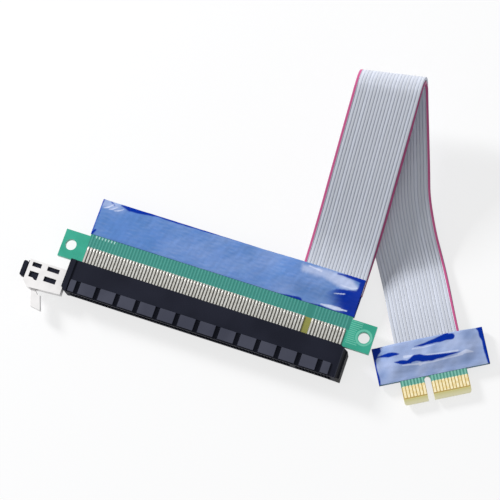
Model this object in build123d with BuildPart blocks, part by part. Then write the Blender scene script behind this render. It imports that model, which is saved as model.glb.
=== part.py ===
from build123d import *
from math import ceil, tan, radians
import os

# Riser cable for an expansion card: a long card slot on its board, two flat
# ribbon cables laid on each other, and a small plug-in board at the far end.
# Lengths are in millimetres. The origin is the middle of the card slot's mouth:
# X runs along the slot, Y from the mouth towards the ribbons, Z is up.

# card slot housing
slot_left = -45.1
slot_right = 44.5
slot_depth = 10.15
slot_thick = 7.5
panel_drop = 0.35
gap_drop = 0.75
end_block_left = 1.75
end_block_right = 1.6
front_corner = 1.0
rear_corner_long = 2.5
rear_corner_short = 1.5

# raised pads along the mouth
pad_count = 12
pad_pitch = 6.48
pad_wide = 4.95
pad_first = -39.55
pad_deep = 3.9
pad_margin = 0.25
small_pad_wide = 1.9
small_pad_left = -41.95
small_pad_wide_right = 2.45
small_pad_right = 39.58
end_rim_slope = 0.9

# groove for the card edge, with its key
groove_wide = 1.75
groove_deep = 8.2
lead_in = 0.4
key_wide = 1.6

# contacts
contact_pitch = 1.0
contact_first = -41.85
long_count = 71
short_count = 11
key_count = 3
contact_wide = 0.55
contact_thick = 0.28
channel_high = 2.35
channel_margin = 0.75
lip = 1.2
lip_slot_wide = 0.6
lip_slot_high = 2.1
tail_reach = 5.15
touch_gap = 0.72
bow_at = 4.8
touch_at = 1.7

# long board
board_thick = 1.6
board_gap = 0.1
ear_span = 100.8
ear_deep = 8.85
main_left = -42.6
main_right = 42.5
main_deep = 21.2
hole_radius = 1.75
hole_from_end = 2.9
hole_spacing = ear_span - 2 * hole_from_end
hole_inset = 4.42

# ribbon cables
ribbon_wide = 19.8
ribbon_thick = 0.9
wire_count = 20
wire_margin = 0.4
wire_pitch = (ribbon_wide - 2 * wire_margin) / wire_count
wire_bare = 2.6
wire_size = 0.4
ribbon_start = 26.9
facet_deg = 12

# tape over the solder joints
tape_thick = 0.15
tape_near = 19.8
tape_left = main_left - tape_thick
bulge_play = 0.2
bulge_lead = 0.5

# small board, in its own axes: A along its contact row, B towards the ribbons
plug_middle = (72.35, 7.74)
plug_turn = 29.84
plug_left = -16.3
plug_right = 17.1
plug_root = 3.7
plug_far = 14.6
tab_half = 10.15
tab_end = -3.85
tab_corner = 0.8
bevel_long = 1.7
bevel_drop = 0.5
notch_middle = -2.0
notch_wide = 1.9
notch_top = 3.5
finger_wide = 0.7
finger_long = 3.55
finger_start = -1.75
finger_thick = 0.05
finger_first_a = -9.5
finger_first_b = -0.5
ribbon_middle = 0.4
plug_ribbon_end = 9.5

# card latch at the slot's left end
frame_left = -57.6
frame_top = 6.5
frame_low = -2.2
frame_wall = 0.4
frame_thick = 3.0
frame_raise = 0.25
frame_chamfer = 1.8
rail_low = 0.5
rail_high = 6.0
rail_clear = 0.05
rail_head_gap = 0.4
rail_head_long = 1.4
rail_head_left = frame_left - rail_head_gap - rail_head_long
rail_head_low = 0.7
rail_head_high = 5.6
rail_head_thick = 2.8
hinge_x = -54.3
hinge_y = -0.9
pin_radius = 0.35
pin_play = 0.05
lever_thick = 1.6
lever_reach = 5.1
lever_long = 7.1
pin_cover = 0.35
frame_low_right = -1.45
window_inset = 1.13
window_left_wide = 2.95
window_right_wide = 3.9
window_between = 2.0
upper_window_from = 3.93
upper_window_high = 1.38
lower_window_from = 0.5
lower_window_high = 1.6
lower_window_top = 2.4
lever_play = 0.1
lever_head = 0.95
lever_slot_left = 2.1
lever_slot_right = 2.6
lever_slot_top = 1.05

half_slot = slot_thick / 2
half_board = board_thick / 2
floor = -half_slot
board_near = slot_depth + board_gap
main_far = board_near + main_deep


def contact_places():
    """X of each contact in one row, with the key's gap after the long group."""
    places = [contact_first + i * contact_pitch for i in range(long_count)]
    restart = places[-1] + key_count * contact_pitch
    places += [restart + i * contact_pitch for i in range(short_count)]
    return places


contact_x = contact_places()
long_end = contact_x[long_count - 1]
short_start = contact_x[long_count]
key_x = (long_end + short_start) / 2
groups = [(contact_x[0], long_end), (short_start, contact_x[-1])]
pad_x = [pad_first + pad_wide / 2 + i * pad_pitch for i in range(pad_count)]

# The housing is a plain block whose long sides are cut back around the raised
# pads and the two end blocks.
with BuildPart() as slot_housing:
    with BuildSketch(Plane.XY.offset(-half_slot)):
        with BuildLine():
            Polyline(
                (slot_left, front_corner),
                (slot_left + front_corner, 0),
                (slot_right, 0),
                (slot_right, slot_depth - rear_corner_short),
                (slot_right - rear_corner_long, slot_depth),
                (slot_left, slot_depth),
                close=True,
            )
        make_face()
    extrude(amount=slot_thick)
    # long panels, a little lower than the end blocks
    panel_from = slot_left + end_block_left
    panel_to = slot_right - end_block_right
    strip_to = small_pad_right + small_pad_wide_right / 2
    for side in (1, -1):
        with BuildSketch(Plane.XY.offset(side * half_slot)):
            with Locations(((panel_from + panel_to) / 2, (pad_deep + slot_depth) / 2)):
                Rectangle(panel_to - panel_from, slot_depth - pad_deep)
        extrude(amount=-side * panel_drop, mode=Mode.SUBTRACT)
        # strip along the mouth, deeper still, with the pads left standing
        with BuildSketch(Plane.XY.offset(side * half_slot)):
            with Locations(((panel_from + strip_to) / 2, pad_deep / 2)):
                Rectangle(strip_to - panel_from, pad_deep)
            with Locations(*[(x, (pad_margin + pad_deep) / 2) for x in pad_x]):
                Rectangle(pad_wide, pad_deep - pad_margin, mode=Mode.SUBTRACT)
            with Locations((small_pad_left, (pad_margin + pad_deep) / 2)):
                Rectangle(small_pad_wide, pad_deep - pad_margin, mode=Mode.SUBTRACT)
            with Locations((small_pad_right, (pad_margin + pad_deep) / 2)):
                Rectangle(small_pad_wide_right, pad_deep - pad_margin, mode=Mode.SUBTRACT)
        extrude(amount=-side * gap_drop, mode=Mode.SUBTRACT)
        # the right end's panel runs down to the mouth and slopes up to the rim
        with BuildSketch(Plane.XY.offset(side * half_slot)):
            with Locations(((strip_to + panel_to) / 2, pad_deep / 2)):
                Rectangle(panel_to - strip_to, pad_deep)
        extrude(amount=-side * panel_drop, mode=Mode.SUBTRACT)
        with BuildSketch(Plane.XZ):
            with BuildLine():
                Polyline(
                    (panel_to, side * (half_slot - panel_drop)),
                    (panel_to + end_rim_slope, side * half_slot),
                    (panel_to, side * half_slot),
                    close=True,
                )
            make_face()
        extrude(amount=-slot_depth, mode=Mode.SUBTRACT)
    # groove for the card edge, in two lengths with the key between them
    groove_ends = [
        (groups[0][0] - channel_margin, key_x - key_wide / 2),
        (key_x + key_wide / 2, groups[1][1] + channel_margin),
    ]
    with BuildSketch(Plane.XZ):
        for start, end in groove_ends:
            with Locations(((start + end) / 2, 0)):
                Rectangle(end - start, groove_wide)
    extrude(amount=-groove_deep, mode=Mode.SUBTRACT)
    mouth = slot_housing.edges().filter_by(Axis.X).filter_by_position(Axis.Y, -0.01, 0.01)
    chamfer(mouth.filter_by_position(Axis.Z, -groove_wide / 2 - 0.01, groove_wide / 2 + 0.01), lead_in)
    # channels that hold the contacts, open at the rear for their tails
    for start, end in groups:
        for side in (1, -1):
            with BuildSketch(Plane.XZ.offset(-lip)):
                with Locations(((start + end) / 2, side * (half_board + channel_high) / 2)):
                    Rectangle(end - start + 2 * contact_wide, channel_high - half_board)
            extrude(amount=-(slot_depth - lip), mode=Mode.SUBTRACT)
    # one narrow slot through the lip in front of each contact
    with BuildSketch(Plane.XZ):
        with Locations(*[(x, 0) for x in contact_x]):
            Rectangle(lip_slot_wide, 2 * lip_slot_high)
    extrude(amount=-lip, mode=Mode.SUBTRACT)
slot_housing.part.label = "slot_housing"


def contact_row(side):
    """Contacts of one side: a flat tail on the board, then a bowed spring."""
    near = side * half_board
    far = side * (half_board + contact_thick)
    bow = side * (channel_high - 0.1)
    bow_in = side * (channel_high - 0.1 - contact_thick)
    touch = side * touch_gap
    tail_end = board_near + tail_reach
    with BuildPart() as row:
        with BuildSketch(Plane.YZ):
            with BuildLine():
                Polyline(
                    (tail_end, near),
                    (tail_end, far),
                    (groove_deep + 0.5, far),
                    (bow_at, bow),
                    (touch_at, touch),
                    (bow_at - 0.1, bow_in),
                    (groove_deep + 0.35, near),
                    close=True,
                )
            make_face()
        extrude(amount=contact_wide / 2, both=True)
    one = row.part
    with BuildPart() as rows:
        with Locations(*[(x, 0, 0) for x in contact_x]):
            add(one)
    return rows.part


contacts_upper = contact_row(1)
contacts_upper.label = "contacts_upper"
contacts_lower = contact_row(-1)
contacts_lower.label = "contacts_lower"

# Long board: a strip behind the slot with a screw ear at each end.
with BuildPart() as long_board:
    with BuildSketch(Plane.XY.offset(-half_board)):
        with Locations((0, board_near + ear_deep / 2)):
            Rectangle(ear_span, ear_deep)
        with Locations(((main_left + main_right) / 2, board_near + main_deep / 2)):
            Rectangle(main_right - main_left, main_deep)
        with Locations(
            (-hole_spacing / 2, board_near + hole_inset),
            (hole_spacing / 2, board_near + hole_inset),
        ):
            Circle(hole_radius, mode=Mode.SUBTRACT)
    extrude(amount=board_thick)
long_board.part.label = "long_board"

# Small board, turned in plan. It lies so that the tape under it meets the floor.
plug_height = floor + tape_thick + ribbon_thick + half_board
plug_plane = Plane(
    origin=(*plug_middle, plug_height),
    x_dir=Vector(1, 0, 0).rotate(Axis.Z, plug_turn),
    z_dir=(0, 0, 1),
)
with BuildPart() as plug_board:
    with BuildSketch(plug_plane.offset(-half_board)):
        with Locations(((plug_left + plug_right) / 2, (plug_root + plug_far) / 2)):
            Rectangle(plug_right - plug_left, plug_far - plug_root)
        with Locations((0, (tab_end + plug_root) / 2)):
            RectangleRounded(2 * tab_half, plug_root - tab_end, tab_corner)
        with Locations((0, plug_root - tab_corner / 2)):
            Rectangle(2 * tab_half, tab_corner)
        with Locations((notch_middle, notch_top - notch_wide / 2)):
            Circle(notch_wide / 2, mode=Mode.SUBTRACT)
        with Locations((notch_middle, (tab_end - 1 + notch_top - notch_wide / 2) / 2)):
            Rectangle(notch_wide, notch_top - notch_wide / 2 - tab_end + 1, mode=Mode.SUBTRACT)
    extrude(amount=board_thick)
    # bevel of the plug-in edge, on both faces
    bevel_plane = Plane(
        origin=plug_plane.from_local_coords((0, tab_end, 0)),
        x_dir=plug_plane.y_dir,
        z_dir=plug_plane.x_dir,
    )
    for side in (1, -1):
        with BuildSketch(bevel_plane):
            with BuildLine():
                Polyline(
                    (0, side * (half_board - bevel_drop)),
                    (bevel_long, side * half_board),
                    (bevel_long, side * (half_board + 1)),
                    (-1, side * (half_board + 1)),
                    (-1, side * (half_board - bevel_drop)),
                    close=True,
                )
            make_face()
        extrude(amount=tab_half + 1, both=True, mode=Mode.SUBTRACT)
plug_board.part.label = "plug_board"

finger_a = [finger_first_a + i * contact_pitch for i in range(7)]
finger_a += [finger_first_b + i * contact_pitch for i in range(11)]


def finger_row(side):
    """Gilt contact strips on one face of the small board."""
    with BuildPart() as row:
        with BuildSketch(plug_plane.offset(side * half_board)):
            with Locations(*[(a, finger_start + finger_long / 2) for a in finger_a]):
                Rectangle(finger_wide, finger_long)
        extrude(amount=side * finger_thick)
    return row.part


fingers_upper = finger_row(1)
fingers_upper.label = "fingers_upper"
fingers_lower = finger_row(-1)
fingers_lower.label = "fingers_lower"

# Routes of the ribbons' middle lines, from the long board to the small one.
# The fourth number is the direction across the ribbon in plan, in degrees.
# Both rise behind the long board, fold over obliquely, come back under in a low
# arch and lie flat on the floor before the small board.
upper_route = [
    (33.04, 26.90, 1.25, 0),
    (32.79, 36.42, 1.25, 0),
    (32.73, 48.18, 5.35, 4),
    (32.51, 60.22, 10.05, 8),
    (32.26, 72.87, 14.25, 10),
    (32.07, 81.50, 16.75, 10),
    (31.86, 88.23, 18.35, 10),
    (31.78, 91.96, 16.30, 10),
    (32.16, 93.05, 12.20, 10),
    (33.19, 90.50, 8.44, 10),
    (35.88, 82.51, 7.98, 10),
    (39.01, 73.51, 7.29, 10),
    (41.75, 65.67, 5.72, 10),
    (44.19, 58.17, 3.34, 22.6),
    (48.85, 49.17, -0.15, 28.9),
    (53.30, 42.14, -3.30, 29.84),
    (56.83, 36.30, -3.30, 29.84),
    (62.84, 25.11, -3.15, 29.84),
]
lower_route = [
    (33.04, 26.90, -1.25, 0),
    (33.10, 36.67, -1.25, 0),
    (33.31, 48.52, 4.10, 4),
    (33.10, 60.67, 8.80, 8),
    (32.84, 73.27, 13.00, 10),
    (32.50, 81.85, 15.50, 10),
    (32.18, 88.08, 17.00, 10),
    (32.15, 90.98, 15.40, 10),
    (32.38, 91.82, 12.30, 10),
    (33.25, 90.14, 9.60, 10),
    (35.89, 82.44, 9.20, 10),
    (39.04, 73.36, 8.50, 10),
    (41.80, 65.38, 6.90, 10),
    (44.34, 57.82, 4.50, 22.6),
    (49.06, 48.80, 1.00, 28.9),
    (53.30, 42.14, -2.10, 29.84),
    (56.83, 36.30, -2.10, 29.84),
    (62.84, 25.11, -0.65, 29.84),
]


def ribbon(route, end_height):
    """A flat strip along straight runs joined by arcs, its width level."""
    end = plug_plane.from_local_coords((ribbon_middle, plug_ribbon_end, 0))
    points = [Vector(x, y, z) for x, y, z, across in route]
    points.append(Vector(end.X, end.Y, end_height))
    radii = []
    for before, here, after in zip(points, points[1:], points[2:]):
        turn = (here - before).get_angle(after - here)
        run = min((here - before).length, (after - here).length)
        radii.append(0.45 * run / tan(radians(turn / 2)))
    print("ribbon bend radii", [round(radius, 1) for radius in radii])
    with BuildLine(mode=Mode.PRIVATE) as path:
        FilletPolyline(*points, radius=radii)
    pieces = path.edges()
    arcs = [piece for piece in pieces if piece.geom_type == GeomType.CIRCLE]
    stations = []
    for corner, place in enumerate(points):
        if corner in (0, len(points) - 1):
            toward = points[1] - points[0] if corner == 0 else points[-1] - points[-2]
            across = route[0][3] if corner == 0 else plug_turn
            stations.append((place, toward.normalized(), across))
            continue
        arc = min(arcs, key=lambda a: (a @ 0.5 - place).length)
        turn = (place - points[corner - 1]).get_angle(points[corner + 1] - place)
        steps = max(1, ceil(turn / facet_deg))
        start_first = (arc @ 0 - points[corner - 1]).length < (arc @ 1 - points[corner - 1]).length
        for step in range(steps + 1):
            t = step / steps if start_first else 1 - step / steps
            toward = (arc % t) * (1 if start_first else -1)
            stations.append((arc @ t, toward, route[corner][3]))
    with BuildPart() as strip:
        for place, toward, across in stations:
            level = Vector(1, 0, 0).rotate(Axis.Z, across)
            face_up = level.cross(toward).normalized()
            wide = ribbon_wide / level.cross(toward).length
            with BuildSketch(Plane(origin=place, x_dir=level, z_dir=level.cross(face_up))):
                Rectangle(wide, ribbon_thick)
        loft(ruled=True)
    length = sum(piece.length for piece in pieces)
    share = strip.part.volume / (length * ribbon_wide * ribbon_thick)
    print("ribbon length", round(length, 1), "volume share", round(share, 4))
    return strip.part


upper_end = plug_height - half_board - ribbon_thick / 2
lower_end = plug_height + half_board + ribbon_thick / 2
ribbon_upper = ribbon(upper_route, upper_end)
ribbon_upper.label = "ribbon_upper"
ribbon_lower = ribbon(lower_route, lower_end)
ribbon_lower.label = "ribbon_lower"


def wire_row(plane, middle, ribbon_edge, side, toward):
    """Bare wire ends laid on a board between a ribbon's end and the solder."""
    places = [middle + (i - (wire_count - 1) / 2) * wire_pitch for i in range(wire_count)]
    with BuildPart() as row:
        with BuildSketch(plane.offset(side * half_board)):
            with Locations(*[(place, ribbon_edge - toward * wire_bare / 2) for place in places]):
                Rectangle(wire_size, wire_bare)
        extrude(amount=side * wire_size)
    return row.part


wires_long_upper = wire_row(Plane.XY, upper_route[0][0], ribbon_start, 1, 1)
wires_long_upper.label = "wires_long_upper"
wires_long_lower = wire_row(Plane.XY, lower_route[0][0], ribbon_start, -1, 1)
wires_long_lower.label = "wires_long_lower"
wires_plug_upper = wire_row(plug_plane, ribbon_middle, plug_ribbon_end, 1, 1)
wires_plug_upper.label = "wires_plug_upper"
wires_plug_lower = wire_row(plug_plane, ribbon_middle, plug_ribbon_end, -1, 1)
wires_plug_lower.label = "wires_plug_lower"

# Tape round the long board's far edge, raised over the ribbons' ends.
tape_half = half_board + ribbon_thick + tape_thick
tape_far = main_far + tape_thick
bulge_wide = ribbon_wide + 2 * bulge_play
bulge_middle = upper_route[0][0]
bulge_near = ribbon_start - wire_bare - bulge_lead
bulge_near_in = bulge_near + tape_thick
tape_open = tape_far + 1
with BuildPart() as tape_long:
    with BuildSketch(Plane.XY.offset(-half_board - tape_thick)):
        with Locations(((tape_left + main_right) / 2, (tape_near + tape_far) / 2)):
            Rectangle(main_right - tape_left, tape_far - tape_near)
    extrude(amount=2 * (half_board + tape_thick))
    with BuildSketch(Plane.XY.offset(-tape_half)):
        with Locations((bulge_middle, (bulge_near + tape_far) / 2)):
            Rectangle(bulge_wide + 2 * tape_thick, tape_far - bulge_near)
    extrude(amount=2 * tape_half)
    with BuildSketch(Plane.XY.offset(-half_board)):
        with Locations(((main_left + main_right) / 2, board_near + main_deep / 2)):
            Rectangle(main_right - main_left, main_deep)
    extrude(amount=board_thick, mode=Mode.SUBTRACT)
    with BuildSketch(Plane.XY.offset(-tape_half + tape_thick)):
        with Locations((bulge_middle, (bulge_near_in + tape_open) / 2)):
            Rectangle(bulge_wide, tape_open - bulge_near_in)
    extrude(amount=2 * (tape_half - tape_thick), mode=Mode.SUBTRACT)
tape_long.part.label = "tape_long"

# Tape round the small board, its ribbons and solder joints.
tape_plug_far = plug_far + 2 * tape_thick
plug_bulge_near = plug_ribbon_end - wire_bare - bulge_lead
plug_bulge_near_in = plug_bulge_near + tape_thick
tape_plug_open = tape_plug_far + 1
with BuildPart() as tape_plug:
    with BuildSketch(plug_plane.offset(-half_board - tape_thick)):
        with Locations(((plug_left + plug_right) / 2, (plug_root + tape_plug_far) / 2)):
            Rectangle(plug_right - plug_left + 2 * tape_thick, tape_plug_far - plug_root)
    extrude(amount=board_thick + 2 * tape_thick)
    with BuildSketch(plug_plane.offset(-tape_half)):
        with Locations((ribbon_middle, (plug_bulge_near + tape_plug_far) / 2)):
            Rectangle(bulge_wide + 2 * tape_thick, tape_plug_far - plug_bulge_near)
    extrude(amount=2 * tape_half)
    with BuildSketch(plug_plane.offset(-half_board)):
        with Locations(((plug_left + plug_right) / 2, (plug_root - 1 + plug_far) / 2)):
            Rectangle(plug_right - plug_left, plug_far - plug_root + 1)
    extrude(amount=board_thick, mode=Mode.SUBTRACT)
    with BuildSketch(plug_plane.offset(-tape_half + tape_thick)):
        with Locations((ribbon_middle, (plug_bulge_near_in + tape_plug_open) / 2)):
            Rectangle(bulge_wide, tape_plug_open - plug_bulge_near_in)
    extrude(amount=2 * (tape_half - tape_thick), mode=Mode.SUBTRACT)
tape_plug.part.label = "tape_plug"

# Latch: a white windowed sleeve on a black rail, and a lever on a pin.
frame_base = frame_raise - frame_thick / 2
lever_low = frame_raise - lever_thick / 2
with BuildPart() as latch_frame:
    with BuildSketch(Plane.XY.offset(frame_base)):
        with BuildLine():
            Polyline(
                (frame_left, frame_top),
                (slot_left, frame_top),
                (slot_left, frame_low_right),
                (frame_left + frame_chamfer, frame_low),
                (frame_left, frame_low + frame_chamfer),
                close=True,
            )
        make_face()
    extrude(amount=frame_thick)
    # passage for the rail
    with BuildSketch(Plane.XY.offset(frame_base + frame_wall)):
        with Locations(((frame_left + slot_left) / 2, (rail_low + rail_high) / 2)):
            Rectangle(slot_left - frame_left + 2, rail_high - rail_low)
    extrude(amount=frame_thick - 2 * frame_wall, mode=Mode.SUBTRACT)
    # four windows over the rail, on both faces; the lowest left one is stepped
    left_column = frame_left + window_inset
    right_column = left_column + window_left_wide + window_between
    tooth = window_left_wide / 4
    with BuildSketch(Plane.XY.offset(frame_base - 1)):
        upper_middle = rail_low + upper_window_from + upper_window_high / 2
        lower_middle = rail_low + lower_window_from + lower_window_high / 2
        with Locations((left_column + window_left_wide / 2, upper_middle)):
            Rectangle(window_left_wide, upper_window_high)
        with Locations((right_column + window_right_wide / 2, upper_middle)):
            Rectangle(window_right_wide, upper_window_high)
        with Locations((right_column + window_right_wide / 2, lower_middle)):
            Rectangle(window_right_wide, lower_window_high)
        with BuildLine():
            Polyline(
                (left_column, rail_low + lower_window_top),
                (left_column + window_left_wide, rail_low + lower_window_top),
                (left_column + window_left_wide, rail_low),
                (left_column + window_left_wide - tooth, rail_low),
                (left_column + window_left_wide - 2 * tooth, rail_low + lower_window_from),
                (left_column, rail_low + lower_window_from),
                close=True,
            )
        make_face()
    extrude(amount=frame_thick + 2, mode=Mode.SUBTRACT)
    # space for the lever's head and its swing
    with BuildSketch(Plane.XY.offset(lever_low - lever_play)):
        with BuildLine():
            Polyline(
                (hinge_x - lever_slot_left, hinge_y + lever_slot_top),
                (hinge_x + lever_head + lever_play, hinge_y + lever_slot_top),
                (hinge_x + lever_slot_right, frame_low - 1),
                (hinge_x - lever_slot_left, frame_low - 1),
                close=True,
            )
        make_face()
    extrude(amount=lever_thick + 2 * lever_play, mode=Mode.SUBTRACT)
    with BuildSketch(Plane.XY.offset(frame_base)):
        with Locations((hinge_x, hinge_y)):
            Circle(pin_radius)
    extrude(amount=frame_thick - pin_cover, mode=Mode.SUBTRACT)
latch_frame.part.label = "latch_frame"

# The rail is carried by the slot housing and holds the sleeve.
with BuildPart() as latch_rail:
    with BuildSketch(Plane.XY.offset(frame_base + frame_wall + rail_clear)):
        with BuildLine():
            Polyline(
                (slot_left, rail_low + rail_clear),
                (slot_left, rail_high - rail_clear),
                (frame_left - rail_head_gap, rail_high - rail_clear),
                (frame_left - rail_head_gap, rail_low + rail_clear),
                close=True,
            )
        make_face()
    extrude(amount=frame_thick - 2 * frame_wall - 2 * rail_clear)
    head_right = frame_left - rail_head_gap
    with BuildSketch(Plane.XY.offset(frame_raise - rail_head_thick / 2)):
        with Locations(((rail_head_left + head_right) / 2, (rail_head_low + rail_head_high) / 2)):
            RectangleRounded(head_right - rail_head_left, rail_head_high - rail_head_low, 0.5)
    extrude(amount=rail_head_thick)
latch_rail.part.label = "latch_rail"

# outline of the blade, in shares of the lever's reach and length
lever_outline = [
    (-0.167, 0),
    (-0.049, -0.239),
    (0.294, -0.93),
    (1, -1),
    (0.647, -0.345),
    (0.5, -0.366),
    (0.275, -0.197),
    (0.167, 0),
]
with BuildPart() as latch_lever:
    with BuildSketch(Plane.XY.offset(lever_low)):
        with Locations((hinge_x, hinge_y)):
            Circle(lever_head)
        with BuildLine():
            Polyline(
                *[
                    (hinge_x + across * lever_reach, hinge_y + down * lever_long)
                    for across, down in lever_outline
                ],
                close=True,
            )
        make_face()
        with Locations((hinge_x, hinge_y)):
            Circle(pin_radius + pin_play, mode=Mode.SUBTRACT)
    extrude(amount=lever_thick)
latch_lever.part.label = "latch_lever"

with BuildPart() as latch_pin:
    with BuildSketch(Plane.XY.offset(frame_base)):
        with Locations((hinge_x, hinge_y)):
            Circle(pin_radius)
    extrude(amount=frame_thick - pin_cover)
latch_pin.part.label = "latch_pin"

os.makedirs("parts", exist_ok=True)
export_step(slot_housing.part, "parts/slot_housing.step")
export_step(contacts_upper, "parts/contacts_upper.step")
export_step(contacts_lower, "parts/contacts_lower.step")
export_step(long_board.part, "parts/long_board.step")
export_step(tape_long.part, "parts/tape_long.step")
export_step(wires_long_upper, "parts/wires_long_upper.step")
export_step(wires_long_lower, "parts/wires_long_lower.step")
export_step(ribbon_upper, "parts/ribbon_upper.step")
export_step(ribbon_lower, "parts/ribbon_lower.step")
export_step(plug_board.part, "parts/plug_board.step")
export_step(fingers_upper, "parts/fingers_upper.step")
export_step(fingers_lower, "parts/fingers_lower.step")
export_step(wires_plug_upper, "parts/wires_plug_upper.step")
export_step(wires_plug_lower, "parts/wires_plug_lower.step")
export_step(tape_plug.part, "parts/tape_plug.step")
export_step(latch_frame.part, "parts/latch_frame.step")
export_step(latch_rail.part, "parts/latch_rail.step")
export_step(latch_lever.part, "parts/latch_lever.step")
export_step(latch_pin.part, "parts/latch_pin.step")
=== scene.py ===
import math

import bmesh
import bpy
import numpy as np
from mathutils import Matrix, Vector


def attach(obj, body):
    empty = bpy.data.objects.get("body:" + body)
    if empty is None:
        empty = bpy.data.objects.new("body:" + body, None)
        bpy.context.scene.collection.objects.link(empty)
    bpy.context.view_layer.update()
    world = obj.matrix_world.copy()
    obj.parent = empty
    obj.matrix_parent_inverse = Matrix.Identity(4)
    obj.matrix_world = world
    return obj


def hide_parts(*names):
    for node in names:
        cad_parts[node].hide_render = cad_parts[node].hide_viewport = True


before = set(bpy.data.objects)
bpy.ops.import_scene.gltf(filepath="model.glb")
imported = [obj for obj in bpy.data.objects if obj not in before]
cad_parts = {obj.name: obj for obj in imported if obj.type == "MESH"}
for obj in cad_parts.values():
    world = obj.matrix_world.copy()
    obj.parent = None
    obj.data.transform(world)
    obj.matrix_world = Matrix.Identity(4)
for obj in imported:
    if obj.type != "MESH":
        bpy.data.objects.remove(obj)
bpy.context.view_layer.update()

scene = bpy.context.scene
scene.view_settings.view_transform = "Standard"
print("frame loaded")

photoCamera = {  # metres, and millimetres for the lens and sensor
    "place": (0.091631, -0.085648, 0.538008),
    "right": (0.94252, 0.32416, -0.08062),
    "up": (-0.29635, 0.92283, 0.24593),
    "back": (0.15413, -0.20791, 0.96593),
    "lens": 130.84,
    "sensor": 36,
    "nearest": 0.01,
    "farthest": 20,
}


def placeCamera(look):
    data = bpy.data.cameras.new("photoCamera")
    data.lens = look["lens"]
    data.sensor_width = look["sensor"]
    data.clip_start = look["nearest"]
    data.clip_end = look["farthest"]
    camera = bpy.data.objects.new("photoCamera", data)
    scene.collection.objects.link(camera)
    turned = Matrix((look["right"], look["up"], look["back"])).transposed().to_4x4()
    camera.matrix_world = Matrix.Translation(look["place"]) @ turned
    scene.camera = camera


placeCamera(photoCamera)


def pitchPlaces(runs):
    # places 1 mm apart, from each run's first place in mm and its count
    return np.concatenate([first + np.arange(count) for first, count in runs]) / 1000


# numbers that several pieces share, in metres
floorHeight = -0.00375
boardTop = 0.0008  # from the middle of either board to its faces
contactX = pitchPlaces([(-41.85, 71), (31.15, 11)])
fingerA = pitchPlaces([(-9.5, 7), (-0.5, 11)])
boardPlace = {  # the small board's own axes: A along its fingers, B towards the ribbons
    "middle": (0.07235, 0.00774),
    "height": -0.0019,
    "turn": math.radians(29.84),
}


def joined(x, y, z):
    # one array of places; a plain number is the same for all of them
    return np.stack(np.broadcast_arrays(x, y, z), axis=-1)


def plugToFrame(a, b, z):
    # turns places on the small board into the part's own axes
    turn = boardPlace["turn"]
    x = boardPlace["middle"][0] + a * math.cos(turn) - b * math.sin(turn)
    y = boardPlace["middle"][1] + a * math.sin(turn) + b * math.cos(turn)
    return joined(x, y, z + boardPlace["height"])


def evenGrid(across, along, counts):
    # the two coordinates of an even grid over two ranges, as rows x columns arrays
    return np.meshgrid(np.linspace(*across, counts[0]), np.linspace(*along, counts[1]))


def smoothStep(low, high, value):
    # 0 below low, 1 above high, with an S curve 3t^2 - 2t^3 between them
    t = np.clip((value - low) / (high - low), 0, 1)
    return t * t * (3 - 2 * t)


def softWaves(x, y, size, seed, count=14):
    # a sum of sines in many directions, about -1 to 1, for hand-made unevenness
    rng = np.random.default_rng(seed)
    angle = rng.uniform(0, 2 * math.pi, count)
    pace = rng.uniform(0.6, 1.9, count) * 2 * math.pi / size
    shift = rng.uniform(0, 2 * math.pi, count)
    along = x[..., None] * np.cos(angle) + y[..., None] * np.sin(angle)
    return np.sin(along * pace + shift).sum(-1) / math.sqrt(count * 2)


def finishPiece(name, mesh, material, body, smooth=True):
    mesh.polygons.foreach_set("use_smooth", np.full(len(mesh.polygons), smooth))
    mesh.materials.append(material)
    mesh.update()
    piece = bpy.data.objects.new(name, mesh)
    scene.collection.objects.link(piece)
    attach(piece, body)
    return piece


def gridQuads(index):
    # the four corners of each cell in a grid of point numbers
    quads = [index[:-1, :-1], index[:-1, 1:], index[1:, 1:], index[1:, :-1]]
    return np.stack(quads, axis=-1).reshape(-1, 4)


def gridMesh(name, places, loop=False, caps=False, sheetPlaces=None, marks=None):
    # places is rows x columns x 3; loop joins the last column to the first
    rows, columns = places.shape[:2]
    index = np.arange(rows * columns).reshape(rows, columns)
    if loop:
        index = np.concatenate([index, index[:, :1]], axis=1)
    faces = gridQuads(index).tolist()
    if caps:
        faces += [index[0, :-1][::-1].tolist(), index[-1, :-1].tolist()]
    mesh = bpy.data.meshes.new(name)
    mesh.from_pydata(places.reshape(-1, 3), [], faces)
    if sheetPlaces is not None:
        corners = np.empty(len(mesh.loops), dtype=np.int32)
        mesh.loops.foreach_get("vertex_index", corners)
        flat = sheetPlaces.reshape(-1, 2)[corners].astype(np.float32)
        mesh.uv_layers.new(name="UVMap").data.foreach_set("uv", flat.ravel())
    for key, values in (marks or {}).items():
        layer = mesh.attributes.new(key, "FLOAT", "POINT")
        layer.data.foreach_set("value", values.ravel().astype(np.float32))
    return mesh


def onBothFaces(low, high):
    # blocks on a board's upper face, then the same below: z goes from -high to -low
    underLow = np.column_stack([low[:, :2], -high[:, 2]])
    underHigh = np.column_stack([high[:, :2], -low[:, 2]])
    return np.concatenate([low, underLow]), np.concatenate([high, underHigh])


def blockMesh(name, low, high, turnInto=None):
    # many small blocks: place = low corner + size x each of the eight unit corners
    unit = np.array([(0, 0), (1, 0), (1, 1), (0, 1)])
    corner = np.concatenate([np.column_stack([unit, [level] * 4]) for level in (0, 1)])
    side = [(0, 3, 2, 1), (4, 5, 6, 7), (0, 1, 5, 4), (1, 2, 6, 5), (2, 3, 7, 6), (3, 0, 4, 7)]
    places = low[:, None] + (high - low)[:, None] * corner
    if turnInto:
        places = turnInto(places[..., 0], places[..., 1], places[..., 2])
    faces = np.array(side)[None] + len(corner) * np.arange(len(low))[:, None, None]
    mesh = bpy.data.meshes.new(name)
    mesh.from_pydata(places.reshape(-1, 3), [], faces.reshape(-1, 4).tolist())
    return mesh


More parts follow.
